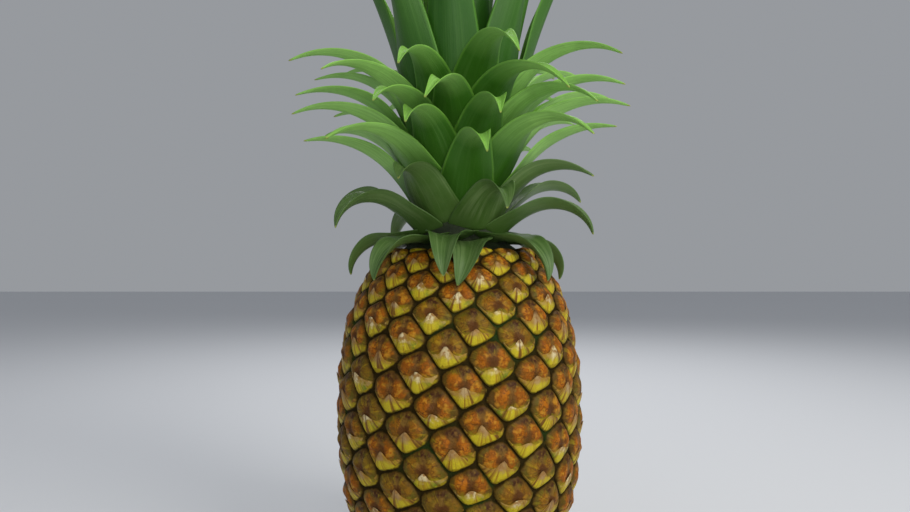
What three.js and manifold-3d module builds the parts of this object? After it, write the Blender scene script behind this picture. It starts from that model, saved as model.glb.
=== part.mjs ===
// A whole pineapple standing on its base: the fruit with its raised eyes, the cut end of its stalk
// and the crown of leaves. Millimetres, +Z up, origin in the middle of the base.
import * as THREE from "three";
import { mergeVertices } from "three/addons/utils/BufferGeometryUtils.js";
import Module from "manifold-3d";

const wasm = await Module();
wasm.setup();

// Fruit
const waistHeight = 84.5; // height of the widest ring
const waistRadius = 56.6; // down in the grooves between the eyes
const barrelReach = 92.5; // from the waist to where the barrel's curve would close
const barrelPower = 2.3; // 2 would be an ellipse
const shoulderHeight = 161.5; // where the barrel turns in under the crown
const seatRadius = 23;
const seatHeight = 164; // top of the fruit, where the crown sits
const baseInnerRadius = 15;
const baseInnerHeight = 2.5; // the base is a little hollow round the stalk
const baseOuterHeight = 0.4;

// Eyes, on one spiral that turns left as it climbs
const eyeTurn = THREE.MathUtils.degToRad(-137.508);
const eyeClimb = 2 * Math.PI * 0.00214; // rise from eye to eye, as a share of the radius there
const eyeRelief = 3.4; // height of an eye over its groove, at the waist
const frontEyeHeight = 104.7; // the eye that the rest are counted from
const frontEyeAngle = THREE.MathUtils.degToRad(-88.4);
const baseFadeHeight = 9; // the lowest eyes flatten out below this
const rimShare = 0.74; // how much of its cell the raised part of an eye fills
const rimLift = 0.66; // lifts are shares of eyeRelief
const eyeScatter = 0.018; // radians that the corners between eyes stray, so that no two are alike
const eyeReach = 0.165; // radians that the places below are shares of, from the middle of an eye
const eyeMarks = {
  leftSepal: { place: [-0.42, 0.24], lift: 1 },
  rightSepal: { place: [0.42, 0.24], lift: 1 },
  bractPoint: { place: [0, 0.06], lift: 1.28 },
  bractFoot: { place: [0, -0.44], lift: 0.92 },
};

// Stalk end
const stalkRadius = 13;
const stalkDepth = 12;
const stalkSides = 24;
const seatGap = 0.3;

// Crown stem, with a foot that spreads under the lowest leaves
const stemFootRadius = 28.5;
const stemFootHeight = 168;
const stemRadius = 21.4;
const stemTaperHeight = 190; // straight up to here
const stemTop = 242;
const stemTopRadius = 15;
const stemSides = 14;

// Leaves, on one spiral too. Each pair of values runs from the first leaf of the tier to its last.
const leafTurn = THREE.MathUtils.degToRad(-137.508);
const firstLeafAngle = THREE.MathUtils.degToRad(-79);
const leafSteps = 5; // sections along a leaf
const leafThickness = [2.4, 1.0]; // along the rib, at root and tip
const marginThickness = 0.7;
const tipHalfWidth = 0.7;
const channelFold = THREE.MathUtils.degToRad(32); // how steeply the halves of a blade rise from its rib
const mostWrap = THREE.MathUtils.degToRad(38); // the same at its root, where it clasps the stem
const leafTolerance = 0.3; // slivers smaller than this are smoothed away where leaves meet
const leafTiers = [
  {
    // drapes over the shoulder
    count: 9,
    rootHeight: [166.6, 168],
    rootRadius: [20, 19],
    length: [42, 44],
    width: [29, 29],
    taper: 0.75, // how fast the blade narrows: 1 would be straight sides
    rise: [[3, 13], [-6, -4], [-96, -92]],
    frontDroop: 0, // degrees that the tips hang lower towards -Y
  },
  {
    // arches over those
    count: 10,
    rootHeight: [168.5, 177],
    rootRadius: [20, 20],
    length: [58, 60],
    width: [31, 31],
    taper: 0.8,
    rise: [[46, 64], [16, 38], [-84, -30]],
    frontDroop: 0,
  },
  {
    // the long leaves round the column
    count: 38,
    rootHeight: [176, 208.3],
    rootRadius: [18, 17],
    length: [80, 96],
    width: [33, 33],
    taper: 0.98,
    rise: [[68, 82], [44, 52], [-10, -16]],
    frontDroop: 42,
  },
  {
    // the outer heart, which flares a little
    count: 10,
    rootHeight: [209.5, 216.5],
    rootRadius: [18, 16],
    length: [128, 134],
    width: [36, 34],
    taper: 0.85,
    rise: [[70, 75], [75, 79], [56, 66]],
    frontDroop: 0,
  },
  {
    // the inner heart
    count: 8,
    rootHeight: [222, 236],
    rootRadius: [11, 3],
    length: [126, 128],
    width: [30, 22],
    taper: 0.85,
    rise: [[76, 86], [80, 92], [66, 84]],
    frontDroop: 0,
  },
];

function blend([first, last], share) {
  return first + (last - first) * share;
}

// A repeatable number from -1 to 1 for each leaf and each use.
function wobble(index, use) {
  const value = Math.sin(index * 12.9898 + use * 78.233) * 43758.5453;
  return 2 * (value - Math.floor(value)) - 1;
}

function smoothStep(low, high, value) {
  return THREE.MathUtils.smoothstep(value, low, high);
}

function solidOf(geometry) {
  const bare = geometry.clone();
  bare.deleteAttribute("normal");
  bare.deleteAttribute("uv");
  const merged = mergeVertices(bare, 1e-4);
  return new wasm.Manifold(
    new wasm.Mesh({
      numProp: 3,
      vertProperties: merged.attributes.position.array,
      triVerts: new Uint32Array(merged.index.array),
    }),
  );
}

function geometryOf(solid) {
  const mesh = solid.getMesh();
  const geometry = new THREE.BufferGeometry();
  geometry.setAttribute("position", new THREE.BufferAttribute(mesh.vertProperties, 3));
  geometry.setIndex(new THREE.BufferAttribute(mesh.triVerts, 1));
  geometry.computeVertexNormals();
  return geometry;
}

function meshGeometry(points, triangles) {
  const geometry = new THREE.BufferGeometry();
  geometry.setAttribute("position", new THREE.Float32BufferAttribute(points.flat(), 3));
  geometry.setIndex(triangles.flat());
  return geometry;
}

function frustum(bottomRadius, topRadius, bottom, top, sides) {
  const geometry = new THREE.CylinderGeometry(topRadius, bottomRadius, top - bottom, sides);
  geometry.rotateX(Math.PI / 2);
  geometry.translate(0, 0, (bottom + top) / 2);
  return geometry;
}

// The fruit's outline in the grooves, from the base's inner rim to the crown's seat, with the
// spiral's own height at each point: the path length divided by the radius on the way.
function fruitOutline() {
  const barrelSteps = 120;
  const barrelRadius = (height) =>
    waistRadius *
    (1 - (Math.abs(height - waistHeight) / barrelReach) ** barrelPower) ** (1 / barrelPower);
  const corners = [[baseInnerRadius, baseInnerHeight]];
  for (let step = 0; step <= barrelSteps; step++) {
    const height = baseOuterHeight + ((shoulderHeight - baseOuterHeight) * step) / barrelSteps;
    corners.push([barrelRadius(height), height]);
  }
  corners.push([seatRadius, seatHeight]);
  const outline = [];
  let climb = 0;
  corners.forEach(([radius, height], index) => {
    if (index > 0) {
      const [lastRadius, lastHeight] = corners[index - 1];
      const pieces = Math.ceil(Math.hypot(radius - lastRadius, height - lastHeight));
      for (let piece = 1; piece <= pieces; piece++) {
        const r = lastRadius + ((radius - lastRadius) * piece) / pieces;
        const z = lastHeight + ((height - lastHeight) * piece) / pieces;
        const before = outline[outline.length - 1];
        climb += (2 * Math.hypot(r - before.r, z - before.z)) / (r + before.r);
        outline.push({ r, z, climb });
      }
    } else {
      outline.push({ r: radius, z: height, climb });
    }
  });
  return outline;
}

const outline = fruitOutline();

function outlineAt(climb) {
  let upper = outline.findIndex((point) => point.climb > climb);
  if (upper < 1) {
    upper = upper === 0 ? 1 : outline.length - 1;
  }
  const low = outline[upper - 1];
  const high = outline[upper];
  const share = (climb - low.climb) / (high.climb - low.climb);
  return {
    r: low.r + (high.r - low.r) * share,
    z: low.z + (high.z - low.z) * share,
  };
}

// A point on the fruit, lifted off the groove surface along its normal.
function fruitPoint(angle, climb, lift) {
  const normalStep = 0.06;
  const { r, z } = outlineAt(climb);
  const below = outlineAt(climb - normalStep);
  const above = outlineAt(climb + normalStep);
  const slope = Math.hypot(above.r - below.r, above.z - below.z);
  const out = (above.z - below.z) / slope;
  const up = -(above.r - below.r) / slope;
  const seatFade = z > waistHeight ? smoothStep(seatRadius + 3, seatRadius + 11, r) : 1;
  const baseFade = z < waistHeight ? 0.45 + 0.55 * smoothStep(0, baseFadeHeight, z) : 1;
  const raised = lift * (r / waistRadius) * seatFade * baseFade;
  const radius = r + raised * out;
  return [radius * Math.cos(angle), radius * Math.sin(angle), Math.max(0, z + raised * up)];
}

// Where three eyes meet, as an offset from the first one, for steps of 8, 13 and 21 eyes.
function spiralStep(count) {
  const turns = (count * eyeTurn) / (2 * Math.PI);
  return new THREE.Vector2((turns - Math.round(turns)) * 2 * Math.PI, count * eyeClimb);
}

function meetingPoint(first, second) {
  const a = spiralStep(first);
  const b = spiralStep(second);
  const area = 2 * a.cross(b);
  return new THREE.Vector2(
    (b.y * a.lengthSq() - a.y * b.lengthSq()) / area,
    (a.x * b.lengthSq() - b.x * a.lengthSq()) / area,
  );
}

// Each eye is a six-sided cell: a low rim, the two round sepals, and the bract between and below
// them with its raised point.
function fruitGeometry() {
  const points = [];
  const triangles = [];
  const corners = new Map();
  const leftMeeting = meetingPoint(8, 21);
  const rightMeeting = meetingPoint(13, 21);
  const start = outline.find((point) => point.z >= frontEyeHeight).climb;
  const place = (offset, index, lift) => {
    const angle = frontEyeAngle + index * eyeTurn + offset.x;
    const climb = start + index * eyeClimb + offset.y;
    return points.push(fruitPoint(angle, climb, lift)) - 1;
  };
  const meeting = (kind, owner) => {
    const use = kind === "left" ? 41 : 43;
    const stray = new THREE.Vector2(wobble(owner, use), wobble(owner, use + 1));
    return stray.multiplyScalar(eyeScatter).add(kind === "left" ? leftMeeting : rightMeeting);
  };
  const corner = (kind, owner) => {
    const key = `${kind} ${owner}`;
    if (!corners.has(key)) {
      corners.set(key, place(meeting(kind, owner), owner, 0));
    }
    return corners.get(key);
  };
  const firstEye = Math.ceil((0.3 - start) / eyeClimb);
  const lastEye = Math.floor((outline[outline.length - 1].climb - 0.3 - start) / eyeClimb);
  for (let eye = firstEye; eye <= lastEye; eye++) {
    // The six corners in order, from the right one round over the top.
    const meetings = [
      ["left", eye - 8],
      ["right", eye],
      ["left", eye],
      ["right", eye - 13],
      ["left", eye - 21],
      ["right", eye - 21],
    ];
    const outer = meetings.map(([kind, owner]) => corner(kind, owner));
    const rim = meetings.map(([kind, owner]) => {
      const offset = meeting(kind, owner).sub(spiralStep(eye - owner));
      return place(offset.multiplyScalar(rimShare), eye, rimLift * eyeRelief);
    });
    const mark = {};
    for (const [name, { place: [x, y], lift }] of Object.entries(eyeMarks)) {
      mark[name] = place(new THREE.Vector2(x, y).multiplyScalar(eyeReach), eye, lift * eyeRelief);
    }
    for (let side = 0; side < 6; side++) {
      const next = (side + 1) % 6;
      triangles.push([outer[side], outer[next], rim[next]]);
      triangles.push([outer[side], rim[next], rim[side]]);
    }
    const { leftSepal, rightSepal, bractPoint, bractFoot } = mark;
    triangles.push([rightSepal, rim[0], rim[1]]);
    triangles.push([rightSepal, rim[1], bractPoint]);
    triangles.push([bractPoint, rim[1], leftSepal]);
    triangles.push([leftSepal, rim[1], rim[2]]);
    triangles.push([leftSepal, rim[2], rim[3]]);
    triangles.push([leftSepal, rim[3], bractFoot]);
    triangles.push([bractPoint, leftSepal, bractFoot]);
    triangles.push([bractFoot, rim[3], rim[4]]);
    triangles.push([bractFoot, rim[4], rim[5]]);
    triangles.push([rightSepal, bractFoot, rim[5]]);
    triangles.push([rightSepal, bractPoint, bractFoot]);
    triangles.push([rightSepal, rim[5], rim[0]]);
  }
  closeEnds(points, triangles);
  return meshGeometry(points, triangles);
}

// Closes the open edge at the seat and the one at the base with a fan to the middle.
function closeEnds(points, triangles) {
  const edges = new Set();
  for (const [a, b, c] of triangles) {
    edges.add(`${a} ${b}`).add(`${b} ${c}`).add(`${c} ${a}`);
  }
  const seatMiddle = points.push([0, 0, seatHeight]) - 1;
  const baseMiddle = points.push([0, 0, baseInnerHeight]) - 1;
  for (const edge of edges) {
    const [from, to] = edge.split(" ").map(Number);
    if (!edges.has(`${to} ${from}`)) {
      triangles.push([to, from, points[from][2] > waistHeight ? seatMiddle : baseMiddle]);
    }
  }
}

function fruitWithSocket() {
  const socket = frustum(
    stalkRadius + seatGap,
    stalkRadius + seatGap,
    -1,
    stalkDepth + seatGap,
    stalkSides,
  );
  return geometryOf(solidOf(fruitGeometry()).subtract(solidOf(socket)));
}

// The middle line of a leaf, in its own upright plane: how far out and how high at each section.
// The rise is its angle over the level, in degrees, at the root, in the middle and at the tip.
function leafLine(leaf) {
  const finePerStep = 8;
  const steps = leafSteps * finePerStep;
  const line = [];
  let out = leaf.rootRadius;
  let height = leaf.rootHeight;
  for (let step = 0; step <= steps; step++) {
    const share = step / steps;
    const [root, middle, tip] = leaf.rise;
    const degrees =
      root * (1 - share) ** 2 + 2 * middle * share * (1 - share) + tip * share ** 2;
    const angle = THREE.MathUtils.degToRad(degrees);
    if (step % finePerStep === 0) {
      line.push({ share, out, height, angle });
    }
    out += (leaf.length / steps) * Math.cos(angle);
    height += (leaf.length / steps) * Math.sin(angle);
  }
  return line;
}

function leafHalfWidth(leaf, share) {
  const narrowing = (1 - share) ** leaf.taper * (1 + 0.3 * share);
  return Math.max(tipHalfWidth, 0.5 * leaf.width * narrowing);
}

// How steeply the two halves of the blade rise from its rib: round the stem first, then a channel.
function leafFold(out, half, share) {
  const wrap = Math.min(mostWrap, half / (2 * out));
  return blend([wrap, channelFold], smoothStep(0.25, 0.6, share));
}

// A leaf as a folded blade: three points across on each face at each section.
function leafGeometry(leaf) {
  const points = [];
  const triangles = [];
  for (const { share, out, height, angle } of leafLine(leaf)) {
    const turn = leaf.angle + leaf.sway * share ** 2;
    const outward = new THREE.Vector3(Math.cos(turn), Math.sin(turn), 0);
    const across = new THREE.Vector3(-Math.sin(turn), Math.cos(turn), 0);
    const upward = new THREE.Vector3(0, 0, 1);
    const inward = outward
      .clone()
      .multiplyScalar(-Math.sin(angle))
      .addScaledVector(upward, Math.cos(angle));
    const rib = outward.clone().multiplyScalar(out).addScaledVector(upward, height);
    const half = leafHalfWidth(leaf, share);
    const fold = leafFold(out, half, share);
    const thick = blend(leafThickness, share);
    const at = (side, depth) =>
      rib
        .clone()
        .addScaledVector(across, side * half * Math.cos(fold))
        .addScaledVector(inward, Math.abs(side) * half * Math.sin(fold) - depth)
        .toArray();
    points.push(at(-1, 0), at(0, 0), at(1, 0));
    points.push(at(1, marginThickness), at(0, thick), at(-1, marginThickness));
  }
  const around = 6;
  for (let step = 0; step < leafSteps; step++) {
    for (let side = 0; side < around; side++) {
      const a = step * around + side;
      const b = step * around + ((side + 1) % around);
      triangles.push([a, b + around, b]);
      triangles.push([a, a + around, b + around]);
    }
  }
  const last = leafSteps * around;
  triangles.push([0, 1, 4], [0, 4, 5], [1, 2, 4], [2, 3, 4]);
  triangles.push([last, last + 4, last + 1], [last, last + 5, last + 4]);
  triangles.push([last + 1, last + 4, last + 2], [last + 2, last + 4, last + 3]);
  return meshGeometry(points, triangles);
}

// All the leaves, counted up one spiral from the lowest tier to the heart.
function crownLeaves() {
  const leaves = [];
  for (const tier of leafTiers) {
    for (let order = 0; order < tier.count; order++) {
      const share = order / (tier.count - 1);
      const index = leaves.length;
      const angle = firstLeafAngle + index * leafTurn + 0.1 * wobble(index, 1);
      const droop = tier.frontDroop * Math.max(0, -Math.sin(angle));
      leaves.push({
        angle,
        sway: 0.16 * wobble(index, 2),
        rootHeight: blend(tier.rootHeight, share),
        rootRadius: blend(tier.rootRadius, share),
        length: blend(tier.length, share) * (1 + 0.05 * wobble(index, 3)),
        width: blend(tier.width, share) * (1 + 0.06 * wobble(index, 4)),
        taper: tier.taper,
        rise: tier.rise.map((range, place) => {
          return blend(range, share) + 2.5 * place * wobble(index, 5) - (droop * place ** 2) / 4;
        }),
      });
    }
  }
  return leaves;
}

// The stem and its leaves as one solid, with the pockets sealed between leaf bases filled in.
function crownGeometry() {
  const stem = [
    frustum(stemFootRadius, stemRadius, seatHeight + seatGap, stemFootHeight, stemSides),
    frustum(stemRadius, stemRadius, stemFootHeight, stemTaperHeight, stemSides),
    frustum(stemRadius, stemTopRadius, stemTaperHeight, stemTop, stemSides),
  ];
  const solids = [...stem, ...crownLeaves().map(leafGeometry)].map(solidOf);
  const joined = wasm.Manifold.union(solids).asOriginal().simplify(leafTolerance);
  const shells = joined.decompose().filter((shell) => shell.volume() > 0);
  return geometryOf(wasm.Manifold.union(shells));
}

function part(name, geometry, color, roughness) {
  const material = new THREE.MeshStandardMaterial({ color, roughness, metalness: 0 });
  const mesh = new THREE.Mesh(geometry, material);
  mesh.name = name;
  return mesh;
}

const pineapple = new THREE.Group();
pineapple.name = "pineapple";
pineapple.add(part("fruit", fruitWithSocket(), 0xa8741c, 0.5));
pineapple.add(
  part("stalk_end", frustum(stalkRadius, stalkRadius, 0, stalkDepth, stalkSides), 0xb79a63, 0.85),
);
pineapple.add(part("crown", crownGeometry(), 0x3f7a25, 0.5));

export default pineapple;
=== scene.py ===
import math
from bisect import bisect_right

import bpy
from mathutils import Euler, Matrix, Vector


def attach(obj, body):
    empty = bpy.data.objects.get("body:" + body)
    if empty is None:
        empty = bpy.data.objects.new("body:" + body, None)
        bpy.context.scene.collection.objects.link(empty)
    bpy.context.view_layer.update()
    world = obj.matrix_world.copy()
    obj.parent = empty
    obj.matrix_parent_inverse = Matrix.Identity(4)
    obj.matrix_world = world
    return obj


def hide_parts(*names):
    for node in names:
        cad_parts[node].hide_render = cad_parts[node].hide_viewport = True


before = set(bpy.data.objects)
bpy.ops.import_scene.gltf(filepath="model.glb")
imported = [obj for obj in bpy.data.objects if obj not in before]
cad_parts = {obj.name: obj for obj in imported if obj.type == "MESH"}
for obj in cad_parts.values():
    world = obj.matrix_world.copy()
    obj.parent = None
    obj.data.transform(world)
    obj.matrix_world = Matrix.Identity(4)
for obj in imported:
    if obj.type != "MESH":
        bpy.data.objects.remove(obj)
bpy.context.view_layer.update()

mm = 0.001


# small helpers, used by every piece

def deselectAll():
    if bpy.context.mode != "OBJECT":
        bpy.ops.object.mode_set(mode="OBJECT")
    bpy.ops.object.select_all(action="DESELECT")


def activate(*objs):
    deselectAll()
    for obj in objs:
        obj.select_set(True)
    bpy.context.view_layer.objects.active = objs[0]


def blend(pair, share):
    return pair[0] + (pair[1] - pair[0]) * share


def smoothStep(low, high, value):
    t = min(1.0, max(0.0, (value - low) / (high - low)))
    return t * t * (3 - 2 * t)


def wobble(index, use):
    # a repeatable number from -1 to 1
    value = math.sin(index * 12.9898 + use * 78.233) * 43758.5453
    return 2 * (value - math.floor(value)) - 1


def joinCopies(copies, name, merge=0.0):
    # one piece of them all, with points closer than merge made one
    activate(*copies)
    bpy.ops.object.join()
    piece = bpy.context.object
    piece.name = name
    piece.data.name = name
    if merge:
        bpy.ops.object.mode_set(mode="EDIT")
        bpy.ops.mesh.select_all(action="SELECT")
        bpy.ops.mesh.remove_doubles(threshold=merge * mm)
        bpy.ops.object.mode_set(mode="OBJECT")
    return piece


def finishPiece(piece, node, material):
    piece.data.materials.clear()
    piece.data.materials.append(material)
    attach(piece, "root")
    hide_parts(node)


def subdivide(piece):
    activate(piece)
    modifier = piece.modifiers.new("round", "SUBSURF")
    modifier.levels = 1
    modifier.render_levels = 1
    bpy.ops.object.modifier_apply(modifier="round")
    bpy.ops.object.shade_smooth()


def editUnderside(piece):
    # leaves the piece in edit mode, with only its underside selected
    for face in piece.data.polygons:
        face.select = face.normal.z < -0.9
    for edge in piece.data.edges:
        edge.select = False
    bpy.ops.object.mode_set(mode="EDIT")
    bpy.ops.mesh.select_mode(type="FACE")


def softenEdges(piece, width, degrees):
    # rounds the sharp edges, and shades smooth across those flatter than degrees
    modifier = piece.modifiers.new("soften", "BEVEL")
    modifier.width = width * mm
    modifier.segments = 2
    modifier.limit_method = "ANGLE"
    bpy.ops.object.modifier_apply(modifier="soften")
    bpy.ops.object.shade_smooth_by_angle(angle=math.radians(degrees))


# shader building

def newMaterial(name):
    material = bpy.data.materials.new(name)
    material.use_nodes = True
    tree = material.node_tree
    return material, tree, tree.nodes["Principled BSDF"]


def put(tree, kind, **settings):
    node = tree.nodes.new(kind)
    for key, value in settings.items():
        setattr(node, key, value)
    return node


def feed(tree, node, socket, value):
    # a plain value is set on the socket, and anything else is linked to it
    if isinstance(value, (int, float, tuple)):
        node.inputs[socket].default_value = value
    else:
        tree.links.new(value, node.inputs[socket])


def maths(tree, operation, first, second=0.0, third=None, clamp=False):
    node = put(tree, "ShaderNodeMath", operation=operation, use_clamp=clamp)
    feed(tree, node, 0, first)
    feed(tree, node, 1, second)
    if third is not None:
        feed(tree, node, 2, third)
    return node.outputs[0]


def fade(tree, value, low, high, fromValue=0.0, toValue=1.0):
    # smooth step of value from low to high
    node = put(tree, "ShaderNodeMapRange", interpolation_type="SMOOTHSTEP")
    feed(tree, node, "Value", value)
    feed(tree, node, "From Min", low)
    feed(tree, node, "From Max", high)
    feed(tree, node, "To Min", fromValue)
    feed(tree, node, "To Max", toValue)
    return node.outputs[0]


def mixColour(tree, share, first, second):
    node = put(tree, "ShaderNodeMix", data_type="RGBA")
    feed(tree, node, 0, share)
    feed(tree, node, 6, first)
    feed(tree, node, 7, second)
    return node.outputs[2]


def noise(tree, vector, scale, detail=3.0, roughness=0.55):
    node = put(tree, "ShaderNodeTexNoise")
    feed(tree, node, "Vector", vector)
    feed(tree, node, "Scale", scale)
    feed(tree, node, "Detail", detail)
    feed(tree, node, "Roughness", roughness)
    return node.outputs[0]


def addBump(tree, shader, height, strength, distance):
    bump = put(tree, "ShaderNodeBump")
    bump.inputs["Strength"].default_value = strength
    bump.inputs["Distance"].default_value = distance
    feed(tree, bump, "Height", height)
    feed(tree, shader, "Normal", bump.outputs[0])


def uvParts(tree, layer):
    uv = put(tree, "ShaderNodeUVMap", uv_map=layer)
    parts = put(tree, "ShaderNodeSeparateXYZ")
    tree.links.new(uv.outputs[0], parts.inputs[0])
    return parts.outputs[0], parts.outputs[1]


def place(tree):
    return put(tree, "ShaderNodeTexCoord").outputs["Object"]


def srgb(red, green, blue):
    # a colour given as it looks on a screen, from 0 to 255
    def linear(value):
        value /= 255
        return value / 12.92 if value <= 0.04045 else ((value + 0.055) / 1.055) ** 2.4
    return (linear(red), linear(green), linear(blue), 1.0)


def fineGrainGroup():
    # mottling and pores shared by the rind, the leaves and the cut stalk
    group = bpy.data.node_groups.new("fineGrain", "ShaderNodeTree")
    group.interface.new_socket("Vector", in_out="INPUT", socket_type="NodeSocketVector")
    group.interface.new_socket("Patch Scale", in_out="INPUT", socket_type="NodeSocketFloat")
    group.interface.new_socket("Pore Scale", in_out="INPUT", socket_type="NodeSocketFloat")
    group.interface.new_socket("Patches", in_out="OUTPUT", socket_type="NodeSocketFloat")
    group.interface.new_socket("Pores", in_out="OUTPUT", socket_type="NodeSocketFloat")
    start = group.nodes.new("NodeGroupInput")
    end = group.nodes.new("NodeGroupOutput")
    patches = noise(group, start.outputs["Vector"], start.outputs["Patch Scale"], 4.0, 0.6)
    pores = noise(group, start.outputs["Vector"], start.outputs["Pore Scale"], 2.0, 0.5)
    group.links.new(fade(group, patches, 0.32, 0.68), end.inputs["Patches"])
    group.links.new(pores, end.inputs["Pores"])
    return group


fineGrain = fineGrainGroup()


def grain(tree, vector, patchScale, poreScale):
    node = put(tree, "ShaderNodeGroup", node_tree=fineGrain)
    feed(tree, node, "Vector", vector)
    feed(tree, node, "Patch Scale", patchScale)
    feed(tree, node, "Pore Scale", poreScale)
    return node.outputs["Patches"], node.outputs["Pores"]


def fanStreaksGroup():
    # fibres that fan out from a point, shared by the eyes and their bracts
    group = bpy.data.node_groups.new("fanStreaks", "ShaderNodeTree")
    for name in ("X", "Y", "Seed", "Fineness"):
        group.interface.new_socket(name, in_out="INPUT", socket_type="NodeSocketFloat")
    group.interface.new_socket("Streaks", in_out="OUTPUT", socket_type="NodeSocketFloat")
    start = group.nodes.new("NodeGroupInput")
    end = group.nodes.new("NodeGroupOutput")
    flat = put(group, "ShaderNodeCombineXYZ")
    feed(group, flat, 0, start.outputs["X"])
    feed(group, flat, 1, start.outputs["Y"])
    way = put(group, "ShaderNodeVectorMath", operation="NORMALIZE")
    feed(group, way, 0, flat.outputs[0])
    parts = put(group, "ShaderNodeSeparateXYZ")
    feed(group, parts, 0, way.outputs[0])
    lane = put(group, "ShaderNodeCombineXYZ")
    feed(group, lane, 0, parts.outputs[0])
    feed(group, lane, 1, parts.outputs[1])
    feed(group, lane, 2, maths(group, "MULTIPLY", start.outputs["Seed"], 40.0))
    streaks = noise(group, lane.outputs[0], start.outputs["Fineness"], 3.0, 0.6)
    group.links.new(streaks, end.inputs["Streaks"])
    return group


fanStreaks = fanStreaksGroup()


def fan(tree, x, y, seed, fineness):
    node = put(tree, "ShaderNodeGroup", node_tree=fanStreaks)
    feed(tree, node, "X", x)
    feed(tree, node, "Y", y)
    feed(tree, node, "Seed", seed)
    feed(tree, node, "Fineness", fineness)
    return node.outputs["Streaks"]


# the rind, in millimetres and radians, with the same barrel and spiral as the solid

rind = {
    "waistHeight": 84.5,
    "waistRadius": 56.6,  # down in the grooves between the eyes
    "barrelReach": 92.5,
    "barrelPower": 2.3,
    "shoulderHeight": 161.5,
    "seatRadius": 23.0,
    "seatHeight": 164.0,
    "seatFade": (3.0, 11.0),  # eyes rise to their full height this far out from the seat
    "baseInnerRadius": 15.0,
    "baseInnerHeight": 2.5,
    "baseOuterHeight": 0.4,
    "baseFadeHeight": 9.0,
    "baseLift": 0.45,  # what is left of the eyes' height at the base
    "eyeTurn": math.radians(-137.508),
    "eyeClimb": 2 * math.pi * 0.00214,
    "frontEyeHeight": 104.7,
    "frontEyeAngle": math.radians(-88.4),
    "eyeReach": 0.165,
    "eyeScatter": 0.018,  # how far the corners between eyes stray
    "swellSpread": 0.12,  # how much taller or flatter an eye may be
    "endMargin": 0.3,  # climb that the first and last eyes keep from the outline's ends
    "spokes": 12,  # points round an eye's rim
    "ringShares": (1.0, 0.96, 0.89, 0.74, 0.52, 0.3, 0.12),  # of the way out from an eye's middle
    "ringLifts": (0.5, 1.3, 1.85, 2.35, 2.6, 2.7, 2.75),
    "cornerReach": 0.05,  # how much further the outer rings run into the rim's corners
    "sepalLift": 1.5,
    "sepalPlace": (0.42, 0.22),  # places and spreads are in shares of eyeReach
    "sepalSpread": (0.1, 0.14),
    "valleyDepth": 0.9,
    "valleyPlace": 0.45,
    "valleySpread": (0.14, 0.3),
    "knobLift": 0.42,  # rough skin above the bract
}


def rindOutline():
    # radius, height and climb of the groove surface, in steps of up to a millimetre
    steps = 120
    corners = [(rind["baseInnerRadius"], rind["baseInnerHeight"])]
    for step in range(steps + 1):
        height = blend((rind["baseOuterHeight"], rind["shoulderHeight"]), step / steps)
        off = abs(height - rind["waistHeight"]) / rind["barrelReach"]
        power = rind["barrelPower"]
        corners.append((rind["waistRadius"] * (1 - off ** power) ** (1 / power), height))
    corners.append((rind["seatRadius"], rind["seatHeight"]))
    radii, heights, climbs = [corners[0][0]], [corners[0][1]], [0.0]
    for (lastRadius, lastHeight), (radius, height) in zip(corners, corners[1:]):
        pieces = math.ceil(math.hypot(radius - lastRadius, height - lastHeight))
        for piece in range(1, pieces + 1):
            r = lastRadius + (radius - lastRadius) * piece / pieces
            z = lastHeight + (height - lastHeight) * piece / pieces
            gap = 2 * math.hypot(r - radii[-1], z - heights[-1]) / (r + radii[-1])
            climbs.append(climbs[-1] + gap)
            radii.append(r)
            heights.append(z)
    return radii, heights, climbs


outlineRadii, outlineHeights, outlineClimbs = rindOutline()


def outlineAt(climb):
    upper = min(max(bisect_right(outlineClimbs, climb), 1), len(outlineClimbs) - 1)
    low = upper - 1
    share = (climb - outlineClimbs[low]) / (outlineClimbs[upper] - outlineClimbs[low])
    r = blend((outlineRadii[low], outlineRadii[upper]), share)
    return r, blend((outlineHeights[low], outlineHeights[upper]), share)


def rindPoint(angle, climb, lift):
    # a point lifted off the groove surface along its normal, in metres
    r, z = outlineAt(climb)
    near = 0.06
    below, above = outlineAt(climb - near), outlineAt(climb + near)
    slope = math.hypot(above[0] - below[0], above[1] - below[1])
    out, up = (above[1] - below[1]) / slope, -(above[0] - below[0]) / slope
    if z > rind["waistHeight"]:
        fadeOut = smoothStep(*rind["seatFade"], r - rind["seatRadius"])
    else:
        fadeOut = blend((rind["baseLift"], 1.0), smoothStep(0, rind["baseFadeHeight"], z))
    raised = lift * (r / rind["waistRadius"]) * fadeOut
    radius = r + raised * out
    height = max(0, z + raised * up)
    return Vector((radius * math.cos(angle), radius * math.sin(angle), height)) * mm


def spiralStep(count):
    # how far round and up it is to the eye that comes count places later
    turns = count * rind["eyeTurn"] / (2 * math.pi)
    return Vector(((turns - round(turns)) * 2 * math.pi, count * rind["eyeClimb"]))


def meetingPoint(first, second):
    # the corner that an eye shares with the eyes first and second places later
    a, b = spiralStep(first), spiralStep(second)
    area = 2 * (a.x * b.y - a.y * b.x)
    return Vector((
        (b.y * a.length_squared - a.y * b.length_squared) / area,
        (a.x * b.length_squared - b.x * a.length_squared) / area,
    ))


# neighbours along the three sets of rows are 8, 13 and 21 places apart
meetings = {"left": meetingPoint(8, 21), "right": meetingPoint(13, 21)}


def eyeRim(index):
    # an eye's six corners and the points between them, from the right corner round over the top
    owners = (
        ("left", index - 8), ("right", index), ("left", index),
        ("right", index - 13), ("left", index - 21), ("right", index - 21),
    )
    corners = []
    for kind, owner in owners:
        use = 41 if kind == "left" else 43
        stray = Vector((wobble(owner, use), wobble(owner, use + 1))) * rind["eyeScatter"]
        corners.append((meetings[kind] + stray - spiralStep(index - owner)) / rind["eyeReach"])
    rim = []
    for here, after in zip(corners, corners[1:] + corners[:1]):
        rim += [here, (here + after) / 2]
    return rim


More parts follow.
